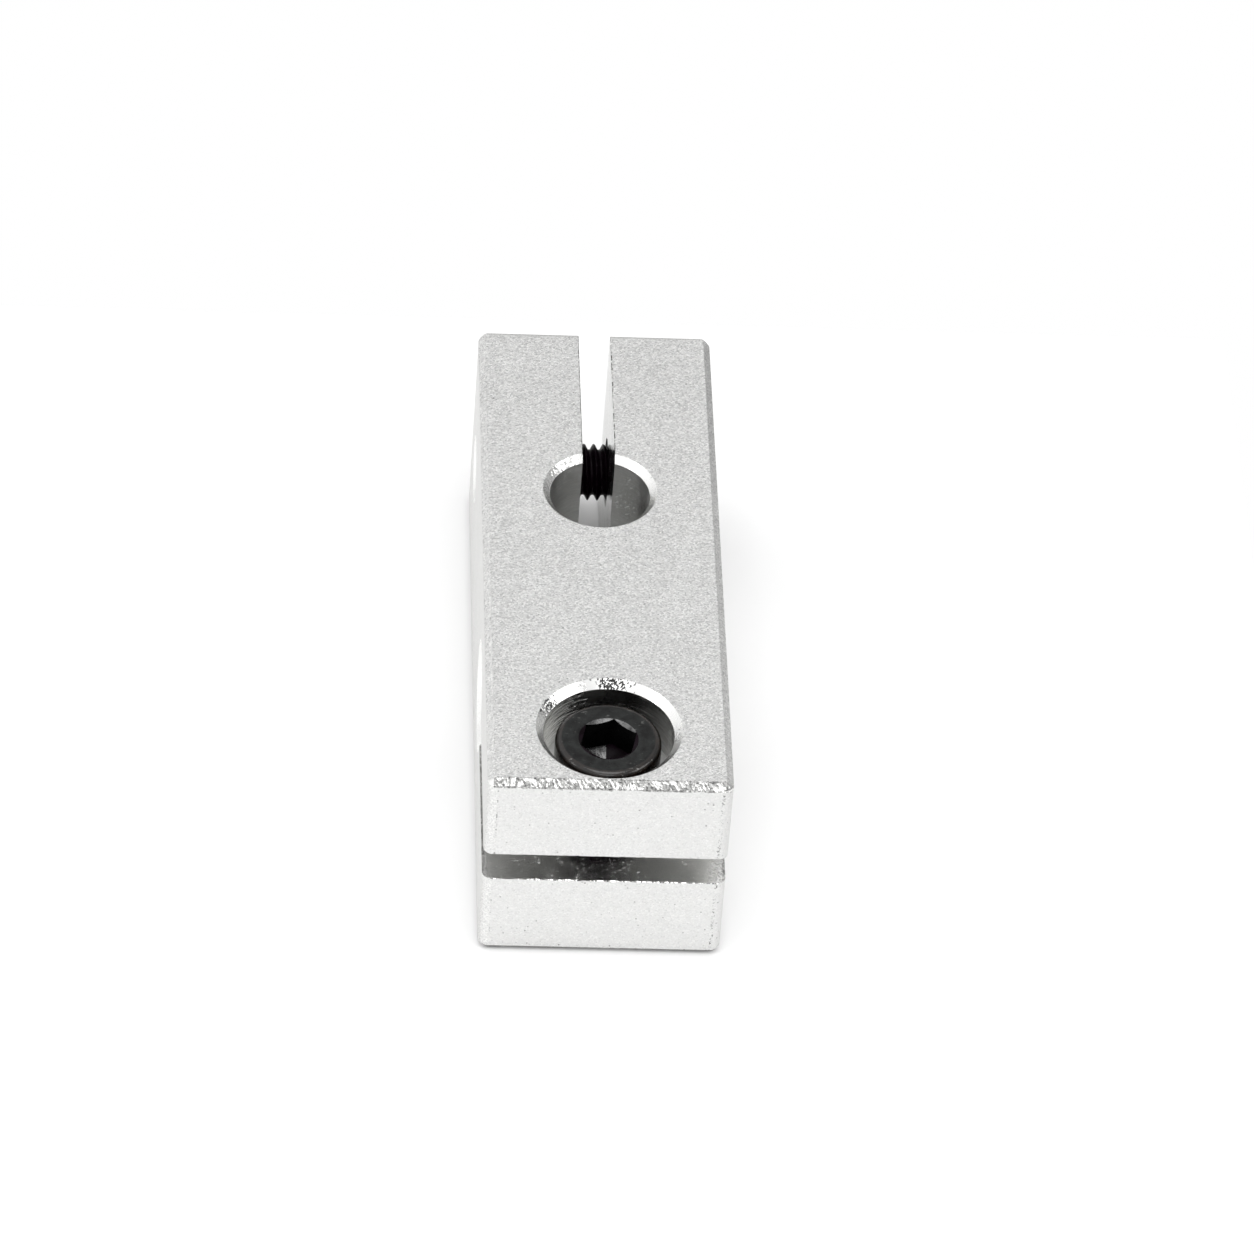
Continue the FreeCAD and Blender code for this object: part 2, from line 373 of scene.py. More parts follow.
def frostMask(tree, coords):
    # rubbed pale towards the right end of the level slit
    start, full = wearSet["frostReach"]
    rim = spread(tree, coordinate(tree, coords, "X"), start * mm, full * mm)
    return maths(tree, "MULTIPLY", rim, patches(tree, coords, wearSet["frostPatches"]))


def makeFinish(name):
    look = finishSet[name]
    material, tree = newMaterial(name)
    coords = addNode(tree, "ShaderNodeTexCoord").outputs["Object"]
    fine = noiseField(tree, coords, look["grain"] / 2, stretch=look["stretch"])
    wearAndShade, rounded = edgeMask(tree, coords, look)
    if look["blasted"]:
        dent, chance = craterField(tree, coords, look["grain"])
        height = maths(tree, "MULTIPLY_ADD", dent, dent, fine)
        shade = speckAndGlintMask(tree, chance)
        for mask in (pitShadeMask, chatterMask, footShadeMask):
            wearAndShade = maths(tree, "MAXIMUM", wearAndShade, mask(tree, coords))
    else:
        grain = noiseField(tree, coords, look["grain"], 1.0, 0.5, look["stretch"])
        height = maths(tree, "MULTIPLY_ADD", fine, wearSet["fineShare"], grain)
        shade = spread(tree, fine, *wearSet["fineLevels"])
    if look["slitEnds"]:
        wearAndShade = maths(tree, "MAXIMUM", wearAndShade, burrMask(tree, coords))
    low, high = look["tone"]
    lowBlue, highBlue = look["warmth"]
    colour = blendColours(tree, shade, (low, low, low * lowBlue, 1), (high, high, high * highBlue, 1))
    bare = 1.0
    if look["edgeWear"]:
        colour = blendColours(tree, wearAndShade, colour, wearSet["wearAndShade"])
        bare = maths(tree, "SUBTRACT", 1.0, wearAndShade)
    if look["nicks"]:
        nicks = nickMask(tree, coords)
        height = maths(tree, "MULTIPLY_ADD", nicks, look["nicks"] / look["relief"], height)
        if look["slitEnds"]:
            nicks = maths(tree, "MAXIMUM", nicks, frostMask(tree, coords))
        bare = maths(tree, "SUBTRACT", bare, nicks)  # scratches scatter light
    sockets = {"Height": height, "Normal": rounded, "Strength": 1.0, "Distance": look["relief"] * mm}
    bump = addNode(tree, "ShaderNodeBump", sockets).outputs[0]
    cloud = noiseField(tree, coords, wearSet["cloud"], detail=3.0)
    rough = spread(tree, cloud, *wearSet["cloudLevels"], *look["roughness"])
    flat = look["flatGloss"]
    sockets = {"Base Color": colour, "Metallic": bare, "Roughness": rough, "Normal": bump}
    sockets["Specular Tint"] = (flat, flat, flat * bareMetal["warmth"][0], 1)
    shader = addNode(tree, "ShaderNodeBsdfPrincipled", sockets)
    addNode(tree, "ShaderNodeOutputMaterial", {"Surface": shader.outputs[0]})
    return material


finishes = {name: makeFinish(name) for name in finishSet}
finishOrder = list(finishSet)
print("block finishes made:", len(finishes))


# Finishes of the screws

oxideSet = {  # grain and relief in mm
    "blackOxide": {
        "tone": ((0.003, 0.003, 0.003, 1), (0.016, 0.0175, 0.017, 1)), "roughness": (0.26, 0.40),
        "grain": 0.14, "relief": 0.012, "specular": 0.23, "metallic": 0.0, "scuffs": 0.5,
    },
    # painted shade: the socket's hexagon walls and the cone's tip, darker and duller than the head's oxide
    "socketBlack": {
        "tone": ((0.001, 0.001, 0.001, 1), (0.003, 0.003, 0.003, 1)), "roughness": (0.20, 0.34),
        "grain": 0.14, "relief": 0.008, "specular": 0.08, "metallic": 0.0, "scuffs": 0.0,
    },
    "threadBlack": {
        "tone": ((0.003, 0.001, 0.002, 1), (0.007, 0.003, 0.006, 1)), "roughness": (0.24, 0.36),
        "grain": 0.14, "relief": 0.006, "specular": 0.05, "metallic": 0.0, "scuffs": 0.0,
    },
    "rubbedOxide": {
        "tone": ((0.002, 0.002, 0.002, 1), (0.015, 0.009, 0.006, 1)), "roughness": (0.12, 0.20),
        "grain": 0.20, "relief": 0.010, "specular": 0.60, "metallic": 0.0, "scuffs": 1.0,
    },
    # lit half of the drilled cone, a bare copy standing in for light on it: painted highlight
    "litDrilledFloor": {
        "tone": ((0.04, 0.04, 0.04, 1), (0.20, 0.20, 0.20, 1)), "roughness": (0.18, 0.30),
        "grain": 0.22, "relief": 0.030, "specular": 0.50, "metallic": 1.0, "scuffs": 0.6,
    },
    # bare worn rim of the socket, kept to its lit far side: painted highlight
    "wornLitRim": {
        "tone": ((0.03, 0.03, 0.031, 1), (0.19, 0.19, 0.19, 1)), "roughness": (0.22, 0.40),
        "grain": 0.20, "relief": 0.012, "specular": 0.50, "metallic": 1.0, "scuffs": 0.0,
    },
}

scuffSet = {  # sizes in mm
    "bare": (0.30, 0.30, 0.29, 1), "size": 0.20, "stretch": (2.5, 1, 1), "levels": (0.62, 0.70),
    "patches": (1.1, 0.50, 0.62),
    "softEdge": 0.04, "edgeSamples": 4,
    "cloud": 0.7, "cloudLevels": (0.35, 0.65), "grainLevels": (0.3, 0.7),
}


def makeOxide(name):
    look = oxideSet[name]
    material, tree = newMaterial(name)
    coords = addNode(tree, "ShaderNodeTexCoord").outputs["Object"]
    grain = noiseField(tree, coords, look["grain"], detail=3.0)
    cloud = noiseField(tree, coords, scuffSet["cloud"], detail=3.0)
    colour = blendColours(tree, spread(tree, cloud, *scuffSet["cloudLevels"]), *look["tone"])
    bare = look["metallic"]
    if look["scuffs"]:
        lines = noiseField(tree, coords, scuffSet["size"], stretch=scuffSet["stretch"])
        lines = spread(tree, lines, *scuffSet["levels"], 0.0, look["scuffs"])
        scuffs = maths(tree, "MULTIPLY", lines, patches(tree, coords, scuffSet["patches"]))
        colour = blendColours(tree, scuffs, colour, scuffSet["bare"])
        bare = bare or scuffs
    sockets = {"Radius": scuffSet["softEdge"] * mm}
    rounded = addNode(tree, "ShaderNodeBevel", sockets, samples=scuffSet["edgeSamples"]).outputs[0]
    sockets = {"Height": grain, "Normal": rounded, "Strength": 1.0, "Distance": look["relief"] * mm}
    bump = addNode(tree, "ShaderNodeBump", sockets).outputs[0]
    rough = spread(tree, grain, *scuffSet["grainLevels"], *look["roughness"])
    sockets = {"Base Color": colour, "Metallic": bare, "Roughness": rough, "Normal": bump}
    sockets["Specular IOR Level"] = look["specular"]
    shader = addNode(tree, "ShaderNodeBsdfPrincipled", sockets)
    addNode(tree, "ShaderNodeOutputMaterial", {"Surface": shader.outputs[0]})
    return material


oxides = {name: makeOxide(name) for name in oxideSet}
oxideOrder = list(oxideSet)
print("screw finishes made:", len(oxides))


# Mesh helpers

def meshObject(name, bm, materials, scale=1.0):
    bmesh.ops.scale(bm, vec=(scale, scale, scale), verts=bm.verts)
    bmesh.ops.recalc_face_normals(bm, faces=bm.faces)
    mesh = bpy.data.meshes.new(name)
    bm.to_mesh(mesh)
    bm.free()
    for material in materials:
        mesh.materials.append(material)
    made = bpy.data.objects.new(name, mesh)
    scene.collection.objects.link(made)
    return made


def bridge(bm, lower, upper, finish=0, closed=True):
    count = len(lower)
    faces = []
    for i in range(count if closed else count - 1):
        j = (i + 1) % count
        face = bm.faces.new((lower[i], lower[j], upper[j], upper[i]))
        face.material_index = finish
        faces.append(face)
    return faces


def ringOf(bm, angles, radii, heights):
    return [bm.verts.new((r * math.cos(a), r * math.sin(a), z)) for a, r, z in zip(angles, radii, heights)]


def applyModifiers(piece):
    graph = bpy.context.evaluated_depsgraph_get()
    mesh = bpy.data.meshes.new_from_object(piece.evaluated_get(graph))
    old = piece.data
    piece.modifiers.clear()
    piece.data = mesh
    bpy.data.meshes.remove(old)


def cutAway(block, cutter):
    cut = block.modifiers.new("cut", "BOOLEAN")
    cut.operation = "DIFFERENCE"
    cut.solver = "EXACT"
    cut.material_mode = "TRANSFER"
    cut.object = cutter
    applyModifiers(block)
    bpy.data.meshes.remove(cutter.data)  # its object goes with it


def noiseAt(x, y, seed):
    return noise.noise(Vector((x, y, seed)))


tornSet = {"coarse": 0.65, "fine": 0.35, "finer": 2.7, "seedStep": 9.1}


def roughness(x, y, seed):
    # torn-edge noise, about -1 to 1
    finer = tornSet["finer"]
    fine = noiseAt(x * finer, y * finer, seed + tornSet["seedStep"])
    return noiseAt(x, y, seed) * tornSet["coarse"] + fine * tornSet["fine"]


# Block

blockSet = {  # mm
    "width": 19.0, "length": 54.0, "height": 18.0,
    "cornerRadius": 0.78, "edgeRound": 0.55, "cornerSteps": 12, "edgeSteps": 7,
    "boreRadius": 4.025, "boreChamfer": 0.55, "boreFromMiddle": 7.5,
    "slitWidth": 2.6,
    "counterboreRadius": 5.1, "counterboreDepth": 4.6, "counterboreChamfer": 0.6,
    "clearanceRadius": 2.85, "tappedRadius": 2.5, "tappedChamfer": 0.3,
    "tipGap": 0.25, "threadGap": 0.15,  # left under the screws' tips
    "frontScrewY": -20.6, "rearScrewY": 20.0,
    "sharpFrom": 32.0, "faceWeight": 90,  # shading
}

threadSet = {  # mm, for the screws and the tapped holes' ends
    "pitch": 0.8, "crest": 2.32, "root": 1.87, "holeRoot": 2.07,
    "crestFlat": 0.07, "flank": 0.30,  # shares of the pitch
    "samples": 12, "segments": 120, "phase": 0.182,
    "weld": 1e-5, "levelWithin": 1e-4,
}

screwSet = {  # mm
    "length": 12.0, "tipChamfer": 0.6, "neckRadius": 2.15, "neckFillet": 0.25,
    "runOut": 1.0, "runOutRate": 1.4,
    "headRadius": 4.15, "headHeight": 3.5, "rimRound": 0.50, "rimSteps": 8,
    "seatEdge": ((0.2, 0.0), (0.06, 0.06), (0.0, 0.2)),  # in from the head's side, up from its seat
    "faceRings": (3.3, 2.8),
    "socketFlats": 4.0, "socketDepth": 2.65, "socketRim": 0.36, "socketTurn": 18.0,
    "socketLip": ((0.06, 0.0), (0.02, 0.015), (-0.02, 0.04)),  # out from its rim, down from the top
    # the socket's rim takes the bare finish from 0 up to this angle, where it shows lit: painted highlight
    "litRimTo": 120.0,  # degrees
    "drillRadius": 1.97, "coneAngle": 30.0, "steps": (1.0, 0.66, 0.33),
    "sharpFrom": 38.0,  # shading
}


def roundedOutline(halfX, halfY, radius, steps):
    points = []
    for k, (sx, sy) in enumerate([(1, -1), (1, 1), (-1, 1), (-1, -1)]):
        centre = Vector((sx * (halfX - radius), sy * (halfY - radius)))
        for i in range(steps + 1):
            angle = math.radians(-90 + 90 * k + 90 * i / steps)
            points.append((centre.x + radius * math.cos(angle), centre.y + radius * math.sin(angle)))
    return points


def blankFinish(k, i):
    # finish of the strip that starts at level k and outline point i
    edge = blockSet["edgeSteps"]
    corner = blockSet["cornerSteps"] + 1
    if k > edge and (i < corner - 1 or i >= 3 * corner):  # top front edge and its corners
        return "brightChamfer"
    if k > edge and i == 2 * corner - 1:  # top rear edge
        return "rubbedCorner"
    if k == edge and 3 * corner <= i < 4 * corner - 1:  # left front corner
        return "rubbedCorner"
    return "blastedAluminium"


def makeBlank():
    look = blockSet
    edge = look["edgeRound"]
    levels = []
    for i in range(look["edgeSteps"] + 1):
        angle = math.radians(90 * i / look["edgeSteps"])
        z = edge * (1 - math.cos(angle))
        levels.append((z, edge - z, edge * (1 - math.sin(angle))))  # chamfered sides, rounded ends
    levels += [(look["height"] - z, side, end) for z, side, end in reversed(levels)]
    bm = bmesh.new()
    loops = []
    for z, side, end in levels:
        halfX = look["width"] / 2 - side
        halfY = look["length"] / 2 - end
        outline = roundedOutline(halfX, halfY, look["cornerRadius"] - side, look["cornerSteps"])
        loops.append([bm.verts.new((x, y, z)) for x, y in outline])
    for k, (lower, upper) in enumerate(zip(loops, loops[1:])):
        for i, face in enumerate(bridge(bm, lower, upper)):
            face.material_index = finishOrder.index(blankFinish(k, i))
    bm.faces.new(loops[0][::-1])
    bm.faces.new(loops[-1])
    return meshObject("clampBlock", bm, finishes.values())


# Bores and screw passages

mouthSet = {  # zones are torn arcs of the mouth: middle and half width in degrees, depth in mm
    "frontBoreCutter": {"segments": 420, "fleck": "rubbedChamfer", "seed": 3.0, "zones": ()},
    "rearBoreCutter": {
        "segments": 420, "fleck": "rubbedChamfer", "seed": 11.0,
        "zones": ((124, 12, 0.11), (145, 17, 0.13), (174, 22, 0.11)),
    },
    "frontPassageCutter": {
        "segments": 520, "fleck": "darkFleck", "seed": 17.0, "zones": ((87, 17, 0.20), (150, 13, 0.20)),
    },
    "rearPassageCutter": {"segments": 520, "fleck": "darkFleck", "seed": 23.0, "zones": ()},
}

turnedSet = {
    "overcut": 0.3,  # how far a cutter stands out of the block, mm
    "step": 0.01,  # height of a flat step, mm
    "wave": (0.30, 0.12),  # size of the roughness round and up, mm
    "bite": (0.13, 0.11), "biteTwist": 2.0, "biteSeed": 31,
    "biteGain": 0.50, "biteFloor": 0.46,
    "fleckFrom": 0.012,  # mm, torn deeper than this is a fleck
    "shadeTo": 118, "shadeRagged": 26, "shadeStep": 0.83,  # painted shade on the counterbore's wall ends here, degrees
}


def biteDepth(angle, r, z, mouth):
    # how deep a mouth is torn here
    look = turnedSet
    across, up = look["bite"]
    seed = mouth["seed"] + look["biteSeed"]
    bite = roughness(angle * r / across, z / up + angle * look["biteTwist"], seed)
    depth = 0.0
    for middle, wide, deep in mouth["zones"]:
        off = (math.degrees(angle) - middle + 180) % 360 - 180
        near = math.exp(-(off / wide) ** 2)
        depth = max(depth, deep * max(0.0, bite + look["biteGain"] * near - look["biteFloor"]))
    return depth


def inShade(k, angle, seed):
    # painted shade and painted reflection of the dark head: the counterbore's tool marks turn dark up to a
    # ragged border
    reach = turnedSet["shadeTo"] + turnedSet["shadeRagged"] * noiseAt(k * turnedSet["shadeStep"], 0.0, seed)
    turn = (angle + math.pi / 2) % (2 * math.pi) - math.pi / 2
    return turn < math.radians(reach)


def turnedCutter(name, profile, place):
    # profile: (radius, height, steps, finish, roughness in mm) up along the axis
    mouth = mouthSet[name]
    seed = mouth["seed"]
    across, up = turnedSet["wave"]
    rows = [(*profile[0], 0, 0.0)]
    for (r0, z0, *_), (r1, z1, steps, finish, rough) in zip(profile, profile[1:]):
        for i in range(1, steps + 1):
            t = i / steps
            rows.append((r0 + (r1 - r0) * t, z0 + (z1 - z0) * t, finishOrder.index(finish), rough))
    angles = [2 * math.pi * i / mouth["segments"] for i in range(mouth["segments"])]
    bm = bmesh.new()
    rings = []
    depths = []
    for k, (r, z, _, rough) in enumerate(rows):
        before = rows[max(k - 1, 0)]
        after = rows[min(k + 1, len(rows) - 1)]
        along = Vector((after[0] - before[0], after[1] - before[1])).normalized()
        depth = [biteDepth(a, r, z, mouth) if rough else 0.0 for a in angles]
        push = [rough * roughness(a * r / across, z / up, seed) + d for a, d in zip(angles, depth)]
        rings.append(ringOf(bm, angles, [r + along.y * p for p in push], [z - along.x * p for p in push]))
        depths.append(depth)
    lit = finishOrder.index("counterboreWall")
    for k in range(1, len(rows)):
        for i, face in enumerate(bridge(bm, rings[k - 1], rings[k], rows[k][2])):
            if max(depths[k][i], depths[k - 1][i]) > turnedSet["fleckFrom"]:
                face.material_index = finishOrder.index(mouth["fleck"])
            # painted shade: the shaded side of the counterbore's wall takes the dark copy
            elif face.material_index == lit and inShade(k, angles[i], seed):
                face.material_index = finishOrder.index("counterboreShade")
    bm.faces.new(rings[0][::-1])
    bm.faces.new(rings[-1])
    bm.transform(place)
    return meshObject(name, bm, finishes.values())


def boreCutter(name, length, wall, place):
    r = blockSet["boreRadius"]
    c = blockSet["boreChamfer"]
    over = turnedSet["overcut"]
    profile = [
        (r + c + over, -over),
        (r, c, 10, "brightChamfer", 0.012),
        (r, length - c, 6, wall, 0.0),
        (r + c + over, length + over, 16, "brightChamfer", 0.014),
    ]
    return turnedCutter(name, profile, place)


def passageCutter(name, length, wall, place):
    look = blockSet
    seat = length - look["counterboreDepth"]
    c = look["counterboreChamfer"]
    r = look["counterboreRadius"]
    over = turnedSet["overcut"]
    step = turnedSet["step"]
    profile = [
        (look["tappedRadius"], seat - screwSet["length"] - look["tipGap"]),
        (look["tappedRadius"], length / 2, 2, wall, 0.0),
        (look["clearanceRadius"], length / 2 + step, 1, wall, 0.0),
        (look["clearanceRadius"], seat, 2, wall, 0.0),
        (r, seat + step, 2, wall, 0.0),
        (r, length - c, 26, "counterboreWall", 0.0),
        (r + c + over, length + over, 18, "brightChamfer", 0.014),
    ]
    return turnedCutter(name, profile, place)


# Threads

def threadShare(part):
    # 1 on the crest, 0 at the root
    off = abs((part + 0.5) % 1.0 - 0.5)
    t = min(max((off - threadSet["crestFlat"]) / threadSet["flank"], 0.0), 1.0)
    return 1.0 - t


def angleOf(vert):
    return math.atan2(vert.co.y, vert.co.x) % (2 * math.pi)


def threadRings(bm, start, end, root, crest, limit, phase=0.0):
    # right-hand thread as rows that climb one pitch a turn, cut off level at both ends
    pitch = threadSet["pitch"]
    per = threadSet["samples"]
    count = threadSet["segments"]
    rows = int(math.ceil((end - start) / pitch + 1)) * per + 1
    grid = []
    for j in range(rows):
        row = []
        for i in range(count + 1):
            turn = i / count
            z = start - pitch + pitch * (j / per + turn)
            z = min(max(z, start), end)
            part = (z - start) / pitch - turn + phase
            radius = limit(z, root + (crest - root) * threadShare(part))
            angle = 2 * math.pi * turn
            row.append(bm.verts.new((radius * math.cos(angle), radius * math.sin(angle), z)))
        grid.append(row)
    for lower, upper in zip(grid, grid[1:]):
        bridge(bm, lower, upper, closed=False)
    bmesh.ops.remove_doubles(bm, verts=bm.verts, dist=threadSet["weld"])
    border = {v for e in bm.edges if e.is_boundary for v in e.verts}
    near = threadSet["levelWithin"]
    low = sorted((v for v in border if abs(v.co.z - start) < near), key=angleOf)
    high = sorted((v for v in border if abs(v.co.z - end) < near), key=angleOf)
    return low, high


def tappedCutter(name, length, place):
    look = blockSet
    tip = length - look["counterboreDepth"] - screwSet["length"]
    mouth = look["tappedRadius"] + look["tappedChamfer"]

    def limit(z, radius):
        return max(radius, mouth - z)

    bm = bmesh.new()
    start = -turnedSet["overcut"]
    end = tip - look["threadGap"]
    low, high = threadRings(bm, start, end, threadSet["holeRoot"], look["tappedRadius"], limit)
    bm.faces.new(low[::-1])
    bm.faces.new(high)
    wall = finishOrder.index("boredUpright")
    rim = finishOrder.index("brightChamfer")
    for face in bm.faces:
        face.material_index = rim if face.calc_center_median().z < look["tappedChamfer"] else wall
    bm.transform(place)
    return meshObject(name, bm, finishes.values())


# Slits and the torn lip

slitSet = {  # mm
    "overcut": 0.2, "pastEnd": 0.5, "pastSide": 0.4, "rearSteps": 220, "frontSteps": 330,
    "rearFlare": 0.06, "frontFlare": 0.068,  # broken off the edges
    "rearTorn": -0.2, "frontTorn": -0.05, "darker": 0.2,  # lower levels give more torn metal
    "rearSeeds": (1.5, 4.2, 7.7, 9.9),  # lower left, lower right, upper right, upper left
    "frontSeeds": (2.5, 5.2), "frontShares": (1.0, 0.5),  # lower, upper
    "breakSize": 0.30, "stretchSize": 1.3, "stretchRow": 7.1,
    "fleckSize": 0.17, "fleckRow": 3.3, "fleckSeed": 5, "fleckCalm": 0.25,
    "leastBreak": 0.40, "meanBreak": 0.9, "breakSpread": 0.9, "raggedness": 1.2,  # shares of the flare
}

lipSet = {  # mm
    "depth": 0.13, "step": 0.05, "rows": 26, "reach": 0.58, "inset": 0.45, "overcut": 0.8,
    "lean": 0.5, "leanSpread": 1.3, "leanSize": 2.1, "leanSeed": 41.0,
    "streak": (0.18, 0.50), "streakSeed": 57.0,
    "patch": (0.8, 0.7), "patchShare": 0.3, "patchSeed": 67.0,
    "border": 0.38, "borderWidth": 0.05, "borderGain": 0.26, "borderSpread": 0.5, "borderSize": 0.5,
    "borderSeed": 71.0,
    "level": 0.20, "lowest": -0.25, "tornFrom": 0.12,
}


def extrudedCutter(name, sections):
    # sections: one closed loop of (point, finish of the strip that starts there) per step
    bm = bmesh.new()
    loops = [[bm.verts.new(point) for point, _ in section] for section in sections]
    for section, lower, upper in zip(sections, loops, loops[1:]):
        for face, (_, finish) in zip(bridge(bm, lower, upper), section):
            face.material_index = finishOrder.index(finish)
    bm.faces.new(loops[0][::-1])
    bm.faces.new(loops[-1])
    return meshObject(name, bm, finishes.values())


def flare(along, seed, size, torn):
    # how much is broken off a slit's edge here, and the finish of the break
    look = slitSet
    rough = roughness(along / look["breakSize"], 0.0, seed)
    broad = noiseAt(along / look["stretchSize"], look["stretchRow"], seed)  # ragged in stretches
    fleck = roughness(along / look["fleckSize"], look["fleckRow"], seed + look["fleckSeed"])
    fleck -= look["fleckCalm"] * broad
    kind = "brightChamfer"
    # the torn stretches take darker finishes; the darkest, darkFleck, is painted shade
    if fleck > torn:
        kind = "darkFleck" if fleck > torn + look["darker"] else "tornMetal"
    share = max(look["leastBreak"], look["meanBreak"] + look["breakSpread"] * broad)
    return size * share * (1.0 + look["raggedness"] * rough), kind


def rearSlitCutter():
    look = blockSet
    half = look["slitWidth"] / 2
    top = look["height"]
    over = slitSet["overcut"]
    steps = slitSet["rearSteps"]
    start = look["boreFromMiddle"]
    end = look["length"] / 2 + slitSet["pastEnd"]
    sections = []
    for i in range(steps + 1):
        y = start + (end - start) * i / steps
        edges = [flare(y, seed, slitSet["rearFlare"], slitSet["rearTorn"]) for seed in slitSet["rearSeeds"]]
        f, edge = zip(*edges)
        sections.append([
            ((-half - f[0] - over, y, -over), "sawnUpright"),
            ((half + f[1] + over, y, -over), edge[1]),
            ((half, y, f[1]), "sawnUpright"),
            ((half, y, top - f[2]), edge[2]),
            ((half + f[2] + over, y, top + over), "sawnUpright"),
            ((-half - f[3] - over, y, top + over), edge[3]),
            ((-half, y, top - f[3]), "sawnUpright"),
            ((-half, y, f[0]), edge[0]),
        ])
    return extrudedCutter("rearSlitCutter", sections)


def frontSlitCutter():
    look = blockSet
    half = look["slitWidth"] / 2
    middle = look["height"] / 2
    front = -look["length"] / 2
    bore = -look["boreFromMiddle"]
    over = slitSet["overcut"]
    steps = slitSet["frontSteps"]
    reach = look["width"] / 2 + slitSet["pastSide"]
    sections = []
    for i in range(steps + 1):
        x = -reach + 2 * reach * i / steps
        edges = []
        for seed, share in zip(slitSet["frontSeeds"], slitSet["frontShares"]):
            edges.append(flare(x, seed, slitSet["frontFlare"] * share, slitSet["frontTorn"]))
        f, edge = zip(*edges)
        sections.append([
            ((x, front - over, middle - half - f[0] - over), edge[0]),
            ((x, front + f[0], middle - half), "sawnLevel"),
            ((x, bore, middle - half), "sawnLevel"),
            ((x, bore, middle + half), "sawnLevel"),
            ((x, front + f[1], middle + half), edge[1]),
            ((x, front - over, middle + half + f[1] + over), "sawnLevel"),
        ])
    return extrudedCutter("frontSlitCutter", sections)


def lipPit(x, t, lean):
    # depth of the torn lip at x along it and t across it
    look = lipSet
    streak = roughness((x + t * lean) / look["streak"][0], t / look["streak"][1], look["streakSeed"])
    patch = noiseAt(x / look["patch"][0], t / look["patch"][1], look["patchSeed"])
    border = math.exp(-((abs(t) - look["border"]) / look["borderWidth"]) ** 2)
    uneven = noiseAt(x / look["borderSize"], t, look["borderSeed"])
    border *= look["borderGain"] + look["borderSpread"] * uneven
    return look["depth"] * max(look["lowest"], streak + patch * look["patchShare"] + border + look["level"])


def lipCutter():
    # torn pits along the front edge of the top face, sunk into its rounding
    look = lipSet
    edge = blockSet["edgeRound"] / 2
    middle = Vector((0, -blockSet["length"] / 2 + edge, blockSet["height"] - edge))
    up = Vector((0, 1, 1)).normalized()
    out = Vector((0, -1, 1)).normalized()
    reach = look["reach"]
    rows = look["rows"]
    half = blockSet["width"] / 2 - look["inset"]
    steps = int(2 * half / look["step"])
    sections = []
    for i in range(steps + 1):
        x = -half + 2 * half * i / steps
        across = Vector((x, 0, 0))
        lean = look["lean"] + look["leanSpread"] * noiseAt(x / look["leanSize"], 0.0, look["leanSeed"])
        section = []
        for k in range(rows + 1):
            t = -reach + 2 * reach * k / rows
            pit = lipPit(x, t, lean)
            finish = "tornMetal" if pit > look["depth"] * look["tornFrom"] else "brightChamfer"
            section.append((middle + up * t - out * pit + across, finish))
        section.append((middle + up * reach + out * look["overcut"] + across, "brightChamfer"))
        section.append((middle - up * reach + out * look["overcut"] + across, "brightChamfer"))
        sections.append(section)
    return extrudedCutter("lipCutter", sections)


# The whole block

def evenShading(block):
    # big faces keep their own normals up to their borders
    block.data.shade_smooth()
    block.data.set_sharp_from_angle(angle=math.radians(blockSet["sharpFrom"]))
    even = block.modifiers.new("even", "WEIGHTED_NORMAL")
    even.keep_sharp = True
    even.weight = blockSet["faceWeight"]
    applyModifiers(block)


def makeBlock():
    look = blockSet
    block = makeBlank()
    toX = Matrix.Rotation(math.radians(90), 4, "Y")
    left = Matrix.Translation((-look["width"] / 2, 0, look["height"] / 2)) @ toX
    frontBore = Matrix.Translation((0, -look["boreFromMiddle"], 0)) @ left
    rearBore = Matrix.Translation((0, look["boreFromMiddle"], 0))
    frontScrew = Matrix.Translation((0, look["frontScrewY"], 0))
    rearScrew = Matrix.Translation((0, look["rearScrewY"], 0)) @ left
    cutAway(block, boreCutter("frontBoreCutter", look["width"], "boredLevel", frontBore))
    cutAway(block, boreCutter("rearBoreCutter", look["height"], "boredUpright", rearBore))
    cutAway(block, frontSlitCutter())
    cutAway(block, rearSlitCutter())
    cutAway(block, passageCutter("frontPassageCutter", look["height"], "boredUpright", frontScrew))
    cutAway(block, passageCutter("rearPassageCutter", look["width"], "boredLevel", rearScrew))
    cutAway(block, lipCutter())
    cutAway(block, tappedCutter("frontTappedCutter", look["height"], frontScrew))
    cutAway(block, tappedCutter("rearTappedCutter", look["width"], rearScrew))
    block.data.transform(Matrix.Scale(mm, 4))
    evenShading(block)
    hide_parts("clamp_block")
    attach(block, "block")
    return block


block = makeBlock()
print("block made:", len(block.data.polygons), "faces")


# Screws

def socketRadius(angle):
    # hexagon with its corners at 0, 60, 120 ... degrees
    apothem = screwSet["socketFlats"] / 2
    off = (angle + math.pi / 6) % (math.pi / 3) - math.pi / 6
    return apothem / math.cos(math.pi / 6 - abs(off))


def shankLimit(z, radius):
    # chamfered tip, and a thread that runs out into the neck
    length = screwSet["length"]
    fade = screwSet["runOut"]
    radius = min(radius, threadSet["crest"] - screwSet["tipChamfer"] + z)
    if z > length - fade:
        t = (z - (length - fade)) / fade
        radius = radius + (screwSet["neckRadius"] - radius) * min(t * screwSet["runOutRate"], 1.0)
    return radius


